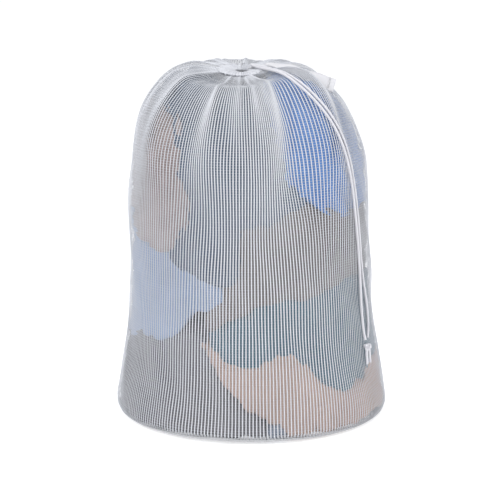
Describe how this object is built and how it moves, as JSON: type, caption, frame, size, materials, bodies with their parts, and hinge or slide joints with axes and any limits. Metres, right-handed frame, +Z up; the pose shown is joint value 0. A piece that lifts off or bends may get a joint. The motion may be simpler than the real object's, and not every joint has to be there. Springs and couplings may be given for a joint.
{
  "type": "mesh laundry bag",
  "caption": "Full drawstring laundry bag in white knitted net, mouth drawn shut, with a knotted cord, a folded hanging strap and folded laundry inside.",
  "frame": {"origin": "middle of the base, on the floor", "axes": "+Z up through the drawn mouth; -Y is the front, where the bottom seam runs; +X is the side that the drawstring and strap hang over"},
  "size_m": [0.3998, 0.3988, 0.5147],
  "materials": {
    "white_net": "knitted polyester net, matt with a slight sheen",
    "white_hem": "doubled and gathered polyester net",
    "white_seam": "overlocked seam in the net",
    "white_thread": "sewing thread",
    "white_cord": "braided polyester cord",
    "white_tape": "woven tape, matt",
    "taupe_cotton": "washed cotton",
    "lavender_cotton": "washed cotton sheeting",
    "slate_cotton": "washed cotton jersey",
    "blue_cotton": "washed cotton jersey",
    "grey_cotton": "brushed cotton",
    "teal_towelling": "cotton towelling",
    "peach_cotton": "washed cotton sheeting",
    "light_grey_cotton": "washed cotton sheeting",
    "steel_blue_knit": "fine knit",
    "white_towelling": "cotton towelling",
    "sand_fleece": "fleece",
    "charcoal_knit": "knitted wool blend",
    "denim": "washed denim",
    "black_knit": "fine black knit"
  },
  "bodies": {
    "bag": {"front_mesh_panel": "white_net", "back_mesh_panel": "white_net", "left_side_seam": "white_seam", "right_side_seam": "white_seam", "bottom_seam": "white_seam", "front_hem": "white_hem", "back_hem": "white_hem", "hem_stitching": "white_thread", "cord_buttonhole": "white_thread", "drawstring_loop": "white_cord", "drawstring_exit_a": "white_cord", "drawstring_exit_b": "white_cord", "laundry_taupe_shirt": "taupe_cotton", "laundry_lavender_sheet": "lavender_cotton", "laundry_slate_shirt": "slate_cotton", "laundry_blue_shirt": "blue_cotton", "laundry_grey_trousers": "grey_cotton", "laundry_teal_towel": "teal_towelling", "laundry_peach_sheet": "peach_cotton", "laundry_grey_sheet": "light_grey_cotton", "laundry_blue_socks": "steel_blue_knit", "laundry_white_towel": "white_towelling", "laundry_sand_blanket": "sand_fleece", "laundry_charcoal_jumper": "charcoal_knit", "laundry_denim_trousers": "denim", "laundry_dark_socks": "black_knit"},
    "strap": {"hanging_strap": "white_tape", "strap_bar_tack": "white_thread"},
    "drawstring_tails": {"drawstring_tail_a": "white_cord", "drawstring_tail_b": "white_cord", "drawstring_knot": "white_cord", "drawstring_end_a": "white_cord", "drawstring_end_b": "white_cord"}
  },
  "joints": [
    {"name": "strap_lift", "type": "hinge", "parent": "bag", "child": "strap", "pos_m": [0.024, -0.006, 0.5075], "axis": [-0.4584, -0.8887, 0], "range_deg": [0, 105]},
    {"name": "drawstring_lift", "type": "hinge", "parent": "bag", "child": "drawstring_tails", "pos_m": [0.00095, -0.0062, 0.503], "axis": [-0.4787, -0.878, 0], "range_deg": [0, 95]}
  ]
}
